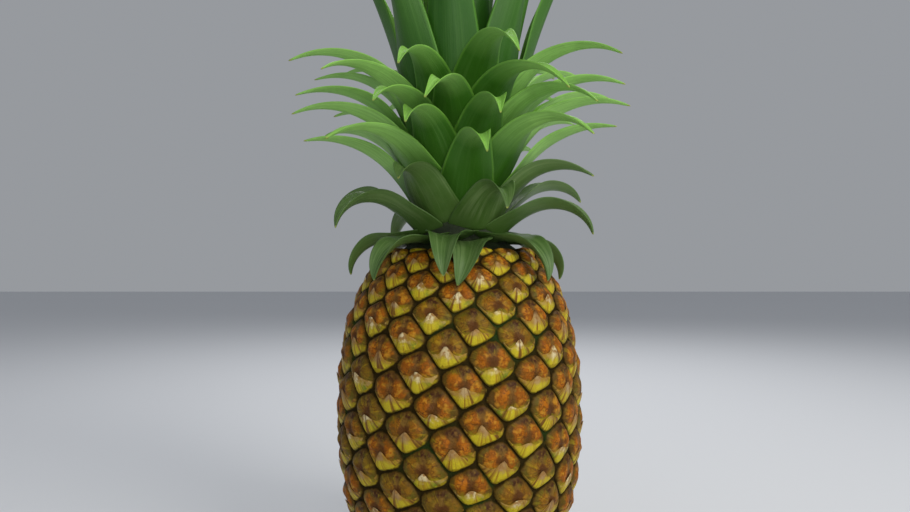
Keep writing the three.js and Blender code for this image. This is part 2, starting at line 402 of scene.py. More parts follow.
def rimReach(rim, turn):
    # how far the rim is from the eye's middle, in the direction of turn
    for here, after in zip(rim, rim[1:] + rim[:1]):
        low = math.atan2(here.y, here.x)
        span = (math.atan2(after.y, after.x) - low) % (2 * math.pi)
        if (turn - low) % (2 * math.pi) <= span:
            edge = after - here
            way = Vector((math.cos(turn), math.sin(turn)))
            return (here.x * edge.y - here.y * edge.x) / (way.x * edge.y - way.y * edge.x)
    return 1.0  # only if rounding lets turn fall between two sides


def eyeSwell(index):
    return 1 + rind["swellSpread"] * wobble(index, 11)


def ringLift(share):
    # height of a plain eye, from the middle of its rings to its rim
    shares, lifts = rind["ringShares"], rind["ringLifts"]
    for outer in range(len(shares) - 1):
        if share >= shares[outer + 1]:
            part = (shares[outer] - share) / (shares[outer] - shares[outer + 1])
            return blend((lifts[outer], lifts[outer + 1]), min(1.0, max(0.0, part)))
    return lifts[-1]


def eyeLift(share, x, y, swell):
    # height of an eye's skin, x and y in shares of its reach; the groove is the same for all eyes
    sideways, upwards = rind["sepalPlace"]
    wide, tall = rind["sepalSpread"]
    forms = 0.0
    for side in (-sideways, sideways):
        forms += rind["sepalLift"] * math.exp(-((x - side) ** 2 / wide + (y - upwards) ** 2 / tall))
    wide, tall = rind["valleySpread"]
    forms -= rind["valleyDepth"] * math.exp(-((x / wide) ** 2 + ((y - rind["valleyPlace"]) / tall) ** 2))
    groove = rind["ringLifts"][0]
    return groove + swell * (ringLift(share) - groove + forms * smoothStep(1.0, 0.78, share))


def knobLift(index, spot, share, y):
    # uneven skin inside the rim and clear of the bract
    clear = smoothStep(1.0, 0.88, share) * smoothStep(-0.35, -0.05, y)
    return rind["knobLift"] * clear * wobble(index * 97 + spot, 33)


def makeMasterEye():
    # a disc, inset ring by ring towards its middle
    spokes = rind["spokes"]
    deselectAll()
    bpy.ops.mesh.primitive_circle_add(vertices=spokes, radius=1, fill_type="NGON")
    eye = bpy.context.object
    eye.name = "masterEye"
    bpy.ops.object.mode_set(mode="EDIT")
    bpy.ops.mesh.select_all(action="SELECT")
    flat = math.cos(math.pi / spokes)  # rings are narrower across a side than along a spoke
    shares = rind["ringShares"]
    for outer, inner in zip(shares, shares[1:]):
        bpy.ops.mesh.inset(thickness=(outer - inner) * flat, depth=0, use_even_offset=True)
    bpy.ops.object.mode_set(mode="OBJECT")
    return eye


def eyePlan(eye):
    # for each vertex of the master: which spoke of the rim it is on, and its share of the way out
    plan = []
    for vertex in eye.data.vertices:
        radius = math.hypot(vertex.co.x, vertex.co.y)
        share = min(rind["ringShares"], key=lambda ring: abs(ring - radius))
        turns = math.atan2(vertex.co.y, vertex.co.x) / (2 * math.pi)
        plan.append((round(turns * rind["spokes"]) % rind["spokes"], share))
    return plan


def ringPoint(rim, spoke, share):
    # every other spoke runs to a corner, and the outer rings are pushed on towards it there
    if spoke % 2 == 0 and 0.5 < share < 1:
        share = min(share + rind["cornerReach"], (share + 1) / 2)
    return rim[spoke] * share


def eyePlaces():
    # number, angle and climb of each eye, counted from the one in front
    start = next(c for z, c in zip(outlineHeights, outlineClimbs) if z >= rind["frontEyeHeight"])
    first = math.ceil((rind["endMargin"] - start) / rind["eyeClimb"])
    last = math.floor((outlineClimbs[-1] - rind["endMargin"] - start) / rind["eyeClimb"])
    for index in range(first, last + 1):
        yield index, rind["frontEyeAngle"] + index * rind["eyeTurn"], start + index * rind["eyeClimb"]


def makeRind():
    eye = makeMasterEye()
    plan = eyePlan(eye)
    mesh = eye.data
    mesh.uv_layers.remove(mesh.uv_layers[0])
    mesh.uv_layers.new(name="eyePlace")
    mesh.uv_layers.new(name="eyeShare")
    copies = []
    for index, angle, climb in eyePlaces():
        copy = eye.copy()
        copy.data = mesh.copy()
        bpy.context.collection.objects.link(copy)
        rim = eyeRim(index)
        swell = eyeSwell(index)
        seed = 0.5 + 0.5 * wobble(index, 12)
        for vertex, (spoke, share) in zip(copy.data.vertices, plan):
            local = ringPoint(rim, spoke, share)
            offset = local * rind["eyeReach"]
            lift = eyeLift(share, local.x, local.y, swell)
            lift += knobLift(index, vertex.index, share, local.y)
            vertex.co = rindPoint(angle + offset.x, climb + offset.y, lift)
        placeLayer = copy.data.uv_layers["eyePlace"]
        shareLayer = copy.data.uv_layers["eyeShare"]
        for loop in copy.data.loops:
            spoke, share = plan[loop.vertex_index]
            placeLayer.data[loop.index].uv = ringPoint(rim, spoke, share)
            shareLayer.data[loop.index].uv = (share, seed)
        copies.append(copy)
    bpy.data.objects.remove(eye)
    skin = joinCopies(copies, "rind", merge=0.002)
    closeRind(skin)
    subdivide(skin)
    return skin


def closeRind(skin):
    # the open rims at the seat and round the stalk are filled, and drawn to a middle point
    activate(skin)
    split = rind["waistHeight"] * mm
    for top in (True, False):
        bpy.ops.object.mode_set(mode="EDIT")
        bpy.ops.mesh.select_mode(type="EDGE")
        bpy.ops.mesh.select_all(action="DESELECT")
        bpy.ops.mesh.select_non_manifold(extend=False)
        bpy.ops.object.mode_set(mode="OBJECT")
        for edge in skin.data.edges:
            high = skin.data.vertices[edge.vertices[0]].co.z > split
            edge.select = edge.select and high == top
        bpy.ops.object.mode_set(mode="EDIT")
        bpy.ops.mesh.edge_face_add()
        bpy.ops.mesh.poke()
        bpy.ops.object.mode_set(mode="OBJECT")
        middle = min((v for v in skin.data.vertices if v.select), key=lambda v: v.co.xy.length)
        middle.co = (0, 0, (rind["seatHeight"] if top else rind["baseInnerHeight"]) * mm)


rindColours = {
    "sepal": srgb(174, 100, 6),
    "sepalDark": srgb(130, 68, 4),
    "sepalPale": srgb(196, 144, 40),
    "flank": srgb(86, 60, 10),
    "olive": srgb(96, 84, 16),
    "valley": srgb(120, 84, 34),
    "crest": srgb(58, 26, 8),
    # painted shadow cast by the bract's tip
    "hollow": srgb(86, 48, 12),
    "foot": srgb(152, 132, 18),
    # dark groove colour, deepened by painted shade in the recess
    "groove": srgb(40, 30, 4),
    "grooveGreen": srgb(34, 50, 14),
    "roughness": 0.5,
    "gloss": 0.03,
    "shine": 0.14,
}


def rindMaterial():
    look = rindColours
    material, tree, shader = newMaterial("rindWax")
    spot = place(tree)
    patches, pores = grain(tree, spot, 260.0, 1500.0)
    bigPatches = noise(tree, spot, 26.0, 2.0)
    stain = noise(tree, spot, 560.0, 3.0)
    x, y = uvParts(tree, "eyePlace")
    share, seed = uvParts(tree, "eyeShare")
    fibres = fan(tree, x, y, seed, 3.2)
    shift = noise(tree, spot, 300.0, 2.0)
    x = maths(tree, "ADD", x, maths(tree, "MULTIPLY_ADD", shift, 0.5, -0.25))
    shiftUp = noise(tree, spot, 370.0, 2.0)
    y = maths(tree, "ADD", y, maths(tree, "MULTIPLY_ADD", shiftUp, 0.5, -0.25))
    wide = maths(tree, "ABSOLUTE", x)

    # brown to olive skin, with fibres that fan out to the rim
    skin = mixColour(tree, fade(tree, seed, 0.35, 0.75), look["flank"], look["olive"])
    skin = mixColour(tree, fade(tree, fibres, 0.52, 0.66, 0.0, 0.7), skin, look["foot"])

    # orange sepals, darker in patches and from eye to eye
    patchDark = fade(tree, patches, 0.1, 0.9, 0.7, 0.0)
    orange = mixColour(tree, patchDark, look["sepal"], look["sepalDark"])
    orange = mixColour(tree, fade(tree, shift, 0.5, 0.66, 0.0, 0.6), orange, look["sepalPale"])
    orange = mixColour(tree, fade(tree, stain, 0.5, 0.36, 0.0, 0.5), orange, look["flank"])
    across = maths(tree, "DIVIDE", maths(tree, "SUBTRACT", wide, 0.42), 0.36)
    upwards = maths(tree, "DIVIDE", maths(tree, "SUBTRACT", y, 0.16), 0.46)
    away = maths(tree, "ADD", maths(tree, "POWER", across, 2.0), maths(tree, "POWER", upwards, 2.0))
    strong = fade(tree, seed, 1.0, 0.6, 0.25, 0.95)
    sepals = maths(tree, "MULTIPLY", fade(tree, away, 1.7, 0.3), strong)
    colour = mixColour(tree, sepals, skin, orange)

    # brown valley between them, dark cracks and a dark crest above
    valley = maths(tree, "MULTIPLY", fade(tree, wide, 0.22, 0.05), fade(tree, y, -0.3, 0.0))
    colour = mixColour(tree, maths(tree, "MULTIPLY", valley, 0.75), colour, look["valley"])
    offLevel = maths(tree, "ABSOLUTE", maths(tree, "SUBTRACT", shift, 0.5))
    cracks = fade(tree, offLevel, 0.045, 0.0, 0.0, 0.75)
    colour = mixColour(tree, maths(tree, "MULTIPLY", cracks, patches), colour, look["crest"])
    crest = maths(tree, "MULTIPLY", fade(tree, y, 0.34, 0.75), fade(tree, stain, 0.34, 0.58))
    crest = maths(tree, "MULTIPLY", crest, fade(tree, wide, 0.6, 0.15))
    colour = mixColour(tree, crest, colour, look["crest"])

    # painted shadow: dark brown cast by the bract's tip on the skin round it, stronger on some eyes
    offTip = maths(tree, "POWER", maths(tree, "DIVIDE", x, 0.34), 2.0)
    offTip = maths(tree, "ADD", offTip, maths(tree, "POWER", maths(tree, "DIVIDE", y, 0.3), 2.0))
    tipShadowStrength = fade(tree, seed, 0.1, 0.7, 0.4, 0.9)
    hollow = maths(tree, "MULTIPLY", fade(tree, offTip, 1.4, 0.3), tipShadowStrength)
    colour = mixColour(tree, hollow, colour, look["hollow"])

    # yellowish foot, under the bract
    foot = maths(tree, "MULTIPLY", fade(tree, y, -0.2, -0.5), fade(tree, share, 1.0, 0.86))
    colour = mixColour(tree, foot, colour, look["foot"])

    # dark grooves, green in places, their dark colour partly painted shade in the recess, and a band of
    # painted shade on the skin beside them
    greenPlaces = fade(tree, bigPatches, 0.54, 0.66)
    grooveAndShadeColour = mixColour(tree, greenPlaces, look["groove"], look["grooveGreen"])
    edge = maths(tree, "MULTIPLY_ADD", shift, 0.24, share)
    # painted shade: the skin darkens to brown towards the groove, less so over the yellow foot
    paintedRimShade = fade(tree, edge, 0.78, 1.08, 0.0, 0.85)
    paintedRimShade = maths(tree, "MULTIPLY", paintedRimShade, fade(tree, foot, 1.0, 0.0))
    colour = mixColour(tree, paintedRimShade, colour, look["flank"])
    groove = fade(tree, edge, 0.98, 1.1)
    colour = mixColour(tree, groove, colour, grooveAndShadeColour)
    feed(tree, shader, "Base Color", colour)

    shader.inputs["Specular IOR Level"].default_value = look["shine"]
    roughness = fade(tree, patches, 0.0, 1.0, look["roughness"] + 0.14, look["roughness"])
    feed(tree, shader, "Roughness", maths(tree, "MULTIPLY_ADD", groove, 0.4, roughness))
    feed(tree, shader, "Coat Weight", fade(tree, groove, 0.0, 0.5, look["gloss"], 0.0))
    shader.inputs["Coat Roughness"].default_value = 0.3
    height = maths(tree, "MULTIPLY_ADD", pores, 0.25, maths(tree, "MULTIPLY", stain, 0.6))
    height = maths(tree, "MULTIPLY_ADD", fibres, 0.8, height)
    addBump(tree, shader, height, 0.7, 0.0012)
    return material


rindPiece = makeRind()
finishPiece(rindPiece, "fruit", rindMaterial())
print("rind:", len(rindPiece.data.polygons), "faces")


# bracts: a fleshy yellow foot along the lower rim of each eye, with a papery tip up its middle

# places are in shares of the eye's reach, lifts and thickness in millimetres
bract = {
    "halfTurn": math.radians(86),  # how far the foot runs round the eye to each side
    "rimShare": 0.97,
    "shoulder": -0.47,  # top edge of the foot
    "wingRise": 0.24,  # how steeply that edge rises to the sides
    "ragged": 0.09,
    "tipRise": 0.72,
    "tipHalfWidth": 0.34,
    "lift": 0.25,  # over the eye's skin
    "tipLift": 1.3,
    "thickness": 0.4,
    "smallestRadius": 30.0,  # in millimetres, none nearer to the middle of the top or base
}


def bractPlace(index, rim, side, up):
    # side runs from -1 to 1 across the foot, and up from 0 at its lower edge to 1
    spread = bract["halfTurn"] * (1 + 0.14 * wobble(index, 24))
    turn = math.radians(270) + 0.14 * wobble(index, 25) + side * spread
    reach = rimReach(rim, turn) * bract["rimShare"]
    x, low = reach * math.cos(turn), reach * math.sin(turn)
    peak = max(0.0, 1 - abs(x) / bract["tipHalfWidth"]) ** 1.2
    height = bract["tipRise"] * (1 + 0.4 * wobble(index, 22))
    top = bract["shoulder"] + 0.1 * wobble(index, 27) + bract["wingRise"] * abs(x) + height * peak
    top += bract["ragged"] * wobble(index * 9 + round(4 * side), 26)
    y = blend((low, max(top, low + 0.06)), up)
    return x * (1 - 0.06 * up) + 0.14 * wobble(index, 21) * peak * up, y, peak * up


def makeBracts():
    # a small grid, bent to its eye's lower rim and drawn up to a point
    deselectAll()
    bpy.ops.mesh.primitive_grid_add(x_subdivisions=8, y_subdivisions=3, size=2)
    master = bpy.context.object
    master.name = "masterBract"
    mesh = master.data
    mesh.uv_layers.remove(mesh.uv_layers[0])
    mesh.uv_layers.new(name="bractPlace")
    mesh.uv_layers.new(name="bractShare")
    copies = []
    for index, angle, climb in eyePlaces():
        if outlineAt(climb)[0] < bract["smallestRadius"]:
            continue
        copy = master.copy()
        copy.data = mesh.copy()
        bpy.context.collection.objects.link(copy)
        rim = eyeRim(index)
        swell = eyeSwell(index)
        seed = 0.5 + 0.5 * wobble(index, 23)
        places = []
        for vertex in copy.data.vertices:
            side = math.copysign(abs(vertex.co.x) ** 1.25, vertex.co.x)
            x, y, tipShare = bractPlace(index, rim, side, (vertex.co.y + 1) / 2)
            share = math.hypot(x, y) / rimReach(rim, math.atan2(y, x))
            lift = eyeLift(share, x, y, swell) + bract["lift"] + bract["tipLift"] * tipShare
            vertex.co = rindPoint(angle + x * rind["eyeReach"], climb + y * rind["eyeReach"], lift)
            places.append((x, y, share))
        placeLayer = copy.data.uv_layers["bractPlace"]
        shareLayer = copy.data.uv_layers["bractShare"]
        for loop in copy.data.loops:
            x, y, share = places[loop.vertex_index]
            placeLayer.data[loop.index].uv = (x, y)
            shareLayer.data[loop.index].uv = (share, seed)
        copies.append(copy)
    bpy.data.objects.remove(master)
    bracts = joinCopies(copies, "bracts")
    modifier = bracts.modifiers.new("thick", "SOLIDIFY")
    modifier.thickness = bract["thickness"] * mm
    modifier.offset = -1
    bpy.ops.object.modifier_apply(modifier="thick")
    subdivide(bracts)
    return bracts


bractColours = {
    "yellow": srgb(190, 172, 32),
    "green": srgb(108, 120, 20),
    "gold": srgb(152, 114, 18),
    "paper": srgb(150, 112, 62),
    "paperPale": srgb(214, 198, 152),
    "scorch": srgb(84, 46, 16),
    # painted shade at the bract's rim, by the groove
    "edge": srgb(84, 72, 14),
}


def bractMaterial():
    look = bractColours
    material, tree, shader = newMaterial("bractSkin")
    spot = place(tree)
    patches, pores = grain(tree, spot, 260.0, 1900.0)
    stain = noise(tree, spot, 480.0, 3.0)
    x, y = uvParts(tree, "bractPlace")
    share, seed = uvParts(tree, "bractShare")
    fibres = fan(tree, x, maths(tree, "SUBTRACT", y, 0.25), seed, 4.5)
    y = maths(tree, "ADD", y, maths(tree, "MULTIPLY_ADD", stain, 0.5, -0.25))
    wide = maths(tree, "ABSOLUTE", x)
    foot = mixColour(tree, fade(tree, fibres, 0.38, 0.56), look["gold"], look["yellow"])
    # greener towards the sides, on some eyes more than others
    green = maths(tree, "MULTIPLY", fade(tree, seed, 0.2, 0.9, 0.1, 1.0), fade(tree, wide, 0.1, 0.6))
    green = maths(tree, "MULTIPLY", green, fade(tree, patches, 0.2, 0.7, 1.0, 0.3))
    foot = mixColour(tree, green, foot, look["green"])
    # papery tip, pale in places and scorched at its point
    palest = fade(tree, seed, 0.35, 0.75, 0.15, 1.0)
    pale = maths(tree, "MULTIPLY", fade(tree, stain, 0.4, 0.6), palest)
    paper = mixColour(tree, pale, look["paper"], look["paperPale"])
    paper = mixColour(tree, fade(tree, wide, 0.08, 0.3, 0.0, 0.75), paper, look["gold"])
    colour = mixColour(tree, fade(tree, y, -0.6, -0.25), foot, paper)
    colour = mixColour(tree, fade(tree, fibres, 0.47, 0.33, 0.0, 0.7), colour, look["scorch"])
    scorch = maths(tree, "MULTIPLY", fade(tree, y, -0.05, 0.3), fade(tree, seed, 0.8, 0.2, 0.2, 0.9))
    colour = mixColour(tree, scorch, colour, look["scorch"])
    # painted shade: the bract darkens towards the groove at the eye's rim
    bractRimPaintedShade = fade(tree, maths(tree, "MULTIPLY_ADD", stain, 0.16, share), 0.92, 1.04, 0.0, 0.9)
    colour = mixColour(tree, bractRimPaintedShade, colour, look["edge"])
    feed(tree, shader, "Base Color", colour)
    shader.inputs["Specular IOR Level"].default_value = 0.18
    feed(tree, shader, "Roughness", fade(tree, y, -0.4, 0.0, 0.5, 0.68))
    height = maths(tree, "MULTIPLY_ADD", pores, 0.3, maths(tree, "ADD", stain, fibres))
    addBump(tree, shader, height, 0.6, 0.0008)
    return material


bractPiece = makeBracts()
finishPiece(bractPiece, "fruit", bractMaterial())
print("bracts:", len(bractPiece.data.polygons), "faces")


# the stalk's cut end, under the fruit

stalk = {
    "radius": 13.0,
    "depth": 12.0,
    "sides": 48,
    "insets": ((1.2, 0.0), (0.6, -0.35), (5.0, 0.1)),  # width and depth of the rings on the cut face
}


def makeStalkEnd():
    deselectAll()
    bpy.ops.mesh.primitive_circle_add(
        vertices=stalk["sides"], radius=stalk["radius"] * mm, fill_type="NGON"
    )
    piece = bpy.context.object
    piece.name = "stalk_cut"
    bpy.ops.object.mode_set(mode="EDIT")
    bpy.ops.mesh.select_all(action="SELECT")
    bpy.ops.mesh.extrude_region_move(TRANSFORM_OT_translate={"value": (0, 0, stalk["depth"] * mm)})
    bpy.ops.mesh.select_all(action="SELECT")
    bpy.ops.mesh.normals_make_consistent(inside=False)
    bpy.ops.object.mode_set(mode="OBJECT")
    editUnderside(piece)
    for width, depth in stalk["insets"]:
        bpy.ops.mesh.inset(thickness=width * mm, depth=depth * mm)
    bpy.ops.object.mode_set(mode="OBJECT")
    softenEdges(piece, 0.25, 35)
    return piece


def stalkMaterial():
    material, tree, shader = newMaterial("stalkFibre")
    spot = place(tree)
    patches, pores = grain(tree, spot, 180.0, 900.0)
    cells = put(tree, "ShaderNodeTexVoronoi")
    feed(tree, cells, "Vector", spot)
    feed(tree, cells, "Scale", 900.0)
    bundles = fade(tree, cells.outputs["Distance"], 0.15, 0.5)
    colour = mixColour(tree, patches, srgb(176, 150, 98), srgb(212, 192, 142))
    colour = mixColour(tree, bundles, srgb(128, 98, 58), colour)
    feed(tree, shader, "Base Color", colour)
    shader.inputs["Roughness"].default_value = 0.85
    addBump(tree, shader, maths(tree, "ADD", bundles, pores), 0.6, 0.0005)
    return material


stalkPiece = makeStalkEnd()
finishPiece(stalkPiece, "stalk_end", stalkMaterial())
print("stalk end done")


# the crown: a short stem and its leaves on one spiral

crown = {
    "stemFoot": 163.1,  # round the rim, which tucks down to the fruit
    "stemFootInset": 5.5,
    "stemSeat": 164.1,  # the underside inside that rim
    "stemFootRadius": 28.5,  # spreads under the lowest leaves
    "stemFootHeight": 168.0,
    "stemRadius": 21.4,
    "stemTaperHeight": 190.0,
    "stemTop": 242.0,
    "stemTopRadius": 15.0,
    "stemSides": 40,
    "leafTurn": math.radians(-137.508),
    "firstLeafAngle": math.radians(-79),
    "ribThickness": (2.2, 0.8),  # at root and tip
    "marginThickness": 0.6,
    "tipHalfWidth": 0.35,
    "channelFold": math.radians(32),  # how steeply the halves of a blade rise from its rib
    "mostWrap": math.radians(38),  # the same at its root, where it clasps the stem
    "waveHeight": 0.5,  # of the margin
    "lineSteps": 40,
}

# Each pair of values runs from the first leaf of the tier to its last. Rise is the rib's slope in
# degrees at root, middle and tip, and frontDroop is how much lower the tips hang towards the front.
leafTiers = [
    {
        "name": "collar_leaves",  # drape over the shoulder
        "count": 9,
        "rootHeight": (166.6, 168),
        "rootRadius": (20, 19),
        "length": (42, 44),
        "width": (29, 29),
        "taper": 0.75,  # 1 would be straight sides
        "rise": ((3, 13), (-6, -4), (-96, -92)),
        "frontDroop": 0,
    },
    {
        "name": "collar_leaves",  # arch over those
        "count": 10,
        "rootHeight": (168.5, 177),
        "rootRadius": (20, 20),
        "length": (58, 60),
        "width": (31, 31),
        "taper": 0.8,
        "rise": ((46, 64), (16, 38), (-84, -30)),
        "frontDroop": 0,
    },
    {
        "name": "column_leaves",
        "count": 38,
        "rootHeight": (176, 208.3),
        "rootRadius": (18, 17),
        "length": (80, 96),
        "width": (33, 33),
        "taper": 0.98,
        "rise": ((68, 82), (44, 52), (-10, -16)),
        "frontDroop": 42,
    },
    {
        "name": "heart_leaves",  # flare a little
        "count": 10,
        "rootHeight": (209.5, 216.5),
        "rootRadius": (18, 16),
        "length": (128, 134),
        "width": (36, 34),
        "taper": 0.85,
        "rise": ((70, 75), (75, 79), (56, 66)),
        "frontDroop": 0,
    },
    {
        "name": "heart_leaves",
        "count": 8,
        "rootHeight": (222, 236),
        "rootRadius": (11, 3),
        "length": (126, 128),
        "width": (30, 22),
        "taper": 0.85,
        "rise": ((76, 86), (80, 92), (66, 84)),
        "frontDroop": 0,
    },
]


def crownLeaves():
    leaves = []
    for tier in leafTiers:
        for order in range(tier["count"]):
            share = order / (tier["count"] - 1)
            index = len(leaves)
            angle = crown["firstLeafAngle"] + index * crown["leafTurn"] + 0.1 * wobble(index, 1)
            droop = tier["frontDroop"] * max(0, -math.sin(angle))
            leaves.append({
                "index": index,
                "name": tier["name"],
                "angle": angle,
                # how far the leaf grows to the side, which sets how much painted glow its outer face
                # gets
                "sideways": smoothStep(0.4, 0.85, abs(math.cos(angle))),
                "sway": 0.16 * wobble(index, 2),
                "rootHeight": blend(tier["rootHeight"], share),
                "rootRadius": blend(tier["rootRadius"], share),
                "length": blend(tier["length"], share) * (1 + 0.05 * wobble(index, 3)),
                "width": blend(tier["width"], share) * (1 + 0.06 * wobble(index, 4)),
                "taper": tier["taper"],
                "rise": [
                    blend(pair, share) + 2.5 * spot * wobble(index, 5) - droop * spot ** 2 / 4
                    for spot, pair in enumerate(tier["rise"])
                ],
            })
    return leaves


def leafLine(leaf):
    # how far out, how high and how steep the rib is, in small steps from root to tip
    steps = crown["lineSteps"]
    out, height = leaf["rootRadius"], leaf["rootHeight"]
    root, middle, tip = leaf["rise"]
    line = []
    for step in range(steps + 1):
        share = step / steps
        degrees = root * (1 - share) ** 2 + 2 * middle * share * (1 - share) + tip * share ** 2
        angle = math.radians(degrees)
        line.append((out, height, angle))
        out += leaf["length"] / steps * math.cos(angle)
        height += leaf["length"] / steps * math.sin(angle)
    return line


def lineAt(line, share):
    spot = share * (len(line) - 1)
    low = min(int(spot), len(line) - 2)
    return [blend(pair, spot - low) for pair in zip(line[low], line[low + 1])]


def leafHalfWidth(leaf, share):
    narrowing = (1 - share) ** leaf["taper"] * (1 + 0.3 * share)
    return max(crown["tipHalfWidth"], 0.5 * leaf["width"] * narrowing)


def leafFold(out, half, share):
    wrap = min(crown["mostWrap"], half / (2 * out))
    return blend((wrap, crown["channelFold"]), smoothStep(0.25, 0.6, share))


def makeMasterLeaf():
    # a flat blade, extruded once for its thickness, with its inner face up
    deselectAll()
    bpy.ops.mesh.primitive_grid_add(x_subdivisions=6, y_subdivisions=16, size=2)
    leaf = bpy.context.object
    leaf.name = "masterLeaf"
    bpy.ops.object.mode_set(mode="EDIT")
    bpy.ops.mesh.select_all(action="SELECT")
    bpy.ops.mesh.extrude_region_move(TRANSFORM_OT_translate={"value": (0, 0, -1)})
    bpy.ops.mesh.select_all(action="SELECT")
    bpy.ops.mesh.normals_make_consistent(inside=False)
    bpy.ops.object.mode_set(mode="OBJECT")
    return leaf


def bendLeaf(copy, leaf):
    # lays the flat master along the leaf's rib, folded up from it and a little wavy at the margins
    line = leafLine(leaf)
    ripple = 0.5 + 0.5 * wobble(leaf["index"], 31)
    for vertex in copy.data.vertices:
        side, share, depth = vertex.co.x, (vertex.co.y + 1) / 2, -vertex.co.z
        out, height, angle = lineAt(line, share)
        turn = leaf["angle"] + leaf["sway"] * share ** 2
        outward = Vector((math.cos(turn), math.sin(turn), 0))
        across = Vector((-math.sin(turn), math.cos(turn), 0))
        inward = outward * -math.sin(angle) + Vector((0, 0, math.cos(angle)))
        half = leafHalfWidth(leaf, share)
        fold = leafFold(out, half, share)
        reach = abs(side)
        curl = 0.35 * reach + 0.65 * reach ** 2
        thick = blend((blend(crown["ribThickness"], share), crown["marginThickness"]), reach ** 1.3)
        wave = crown["waveHeight"] * ripple * reach * smoothStep(0.1, 0.4, share)
        wave *= math.sin(9 * share + 3 * ripple + side)
        vertex.co = (
            outward * out
            + Vector((0, 0, height))
            + across * side * half * math.cos(fold)
            + inward * (curl * half * math.sin(fold) + wave - depth * thick)
        ) * mm


def makeLeaves():
    # the UV maps hold place on the blade, inner face and seed, and how far sideways the leaf grows,
    # which sets its painted glow
    master = makeMasterLeaf()
    mesh = master.data
    mesh.uv_layers.remove(mesh.uv_layers[0])
    bladeLayer = mesh.uv_layers.new(name="blade")
    faceLayer = mesh.uv_layers.new(name="bladeFace")
    mesh.uv_layers.new(name="bladeTone")
    for loop in mesh.loops:
        spot = mesh.vertices[loop.vertex_index].co
        bladeLayer.data[loop.index].uv = (spot.x, (spot.y + 1) / 2)
        faceLayer.data[loop.index].uv = (1 + spot.z, 0)
    tiers = {}
    for leaf in crownLeaves():
        copy = master.copy()
        copy.data = mesh.copy()
        bpy.context.collection.objects.link(copy)
        bendLeaf(copy, leaf)
        seed = 0.5 + 0.5 * wobble(leaf["index"], 32)
        for item in copy.data.uv_layers["bladeFace"].data:
            item.uv[1] = seed
        for item in copy.data.uv_layers["bladeTone"].data:
            item.uv = (leaf["sideways"], 0)
        tiers.setdefault(leaf["name"], []).append(copy)
    bpy.data.objects.remove(master)
    pieces = []
    for name, copies in tiers.items():
        piece = joinCopies(copies, name)
        subdivide(piece)
        pieces.append(piece)
    return pieces


leafColours = {
    "collar_leaves": {
        "inner": srgb(68, 98, 44),
        "innerPale": srgb(104, 130, 76),
        "outer": srgb(72, 104, 42),
        "outerPale": srgb(108, 132, 78),
        "paintedGlow": 0.35,  # how far painted glow, as of light through the blade, turns the outer face pale towards the tip
    },
    "column_leaves": {
        "inner": srgb(134, 194, 70),
        "innerPale": srgb(156, 208, 108),
        "outer": srgb(56, 106, 24),
        "outerPale": srgb(72, 118, 42),
        "paintedGlow": 0.9,
    },
    "heart_leaves": {
        "inner": srgb(104, 168, 46),
        "innerPale": srgb(146, 196, 96),
        "outer": srgb(43, 91, 20),
        "outerPale": srgb(60, 105, 36),
        "paintedGlow": 0.1,
    },
}


def leafMaterial(name):
    look = leafColours[name]
    material, tree, shader = newMaterial(name + "Green")
    spot = place(tree)
    patches, pores = grain(tree, spot, 90.0, 1400.0)
    side, along = uvParts(tree, "blade")
    inner, seed = uvParts(tree, "bladeFace")
    wide = maths(tree, "ABSOLUTE", side)

    # fine veins run the length of the blade
    lane = put(tree, "ShaderNodeCombineXYZ")
    feed(tree, lane, 0, maths(tree, "MULTIPLY", side, 9.0))
    feed(tree, lane, 1, maths(tree, "MULTIPLY", along, 1.4))
    feed(tree, lane, 2, maths(tree, "MULTIPLY", seed, 40.0))
    veins = noise(tree, lane.outputs[0], 2.4, 4.0, 0.65)
    streaks = noise(tree, lane.outputs[0], 0.8, 3.0, 0.6)

    innerColour = mixColour(tree, fade(tree, streaks, 0.4, 0.7), look["inner"], look["innerPale"])
    outerColour = mixColour(tree, fade(tree, streaks, 0.45, 0.75), look["outer"], look["outerPale"])
    # painted glow: past the column the outer face is painted pale, as if lit through the blade, most of
    # all in leaves that grow sideways
    sideways = uvParts(tree, "bladeTone")[0]
    start = maths(tree, "MULTIPLY_ADD", sideways, -0.34, 0.5)
    paintedGlow = maths(tree, "DIVIDE", maths(tree, "SUBTRACT", along, start), 0.3, clamp=True)
    paintedGlow = maths(tree, "MULTIPLY", paintedGlow, look["paintedGlow"])
    outerColour = mixColour(tree, paintedGlow, outerColour, look["innerPale"])
    colour = mixColour(tree, fade(tree, inner, 0.35, 0.65), outerColour, innerColour)
    # painted shade: the clasping base, crowded round the stem, is painted the dark outer green on both
    # faces
    base = fade(tree, along, 0.24, 0.06)
    colour = mixColour(tree, base, colour, look["outer"])
    colour = mixColour(tree, fade(tree, veins, 0.35, 0.6, 0.3, 0.0), colour, look["outer"])
    colour = mixColour(tree, fade(tree, patches, 0.0, 1.0, 0.0, 0.15), colour, look["outerPale"])
    margin = maths(tree, "MULTIPLY", fade(tree, wide, 0.9, 1.0), 0.3)
    colour = mixColour(tree, margin, colour, look["inner"])
    paleTip = fade(tree, along, 0.975, 1.0)
    colour = mixColour(tree, paleTip, colour, srgb(150, 160, 76))
    feed(tree, shader, "Base Color", colour)

    feed(tree, shader, "Roughness", fade(tree, veins, 0.3, 0.7, 0.38, 0.52))
    shader.inputs["Specular IOR Level"].default_value = 0.3
    shader.inputs["Coat Weight"].default_value = 0.04
    shader.inputs["Coat Roughness"].default_value = 0.35
    addBump(tree, shader, maths(tree, "MULTIPLY_ADD", pores, 0.2, veins), 0.35, 0.0006)
    return material


leafPieces = makeLeaves()
for leafPiece in leafPieces:
    finishPiece(leafPiece, "crown", leafMaterial(leafPiece.name))
    print(leafPiece.name + ":", len(leafPiece.data.polygons), "faces")


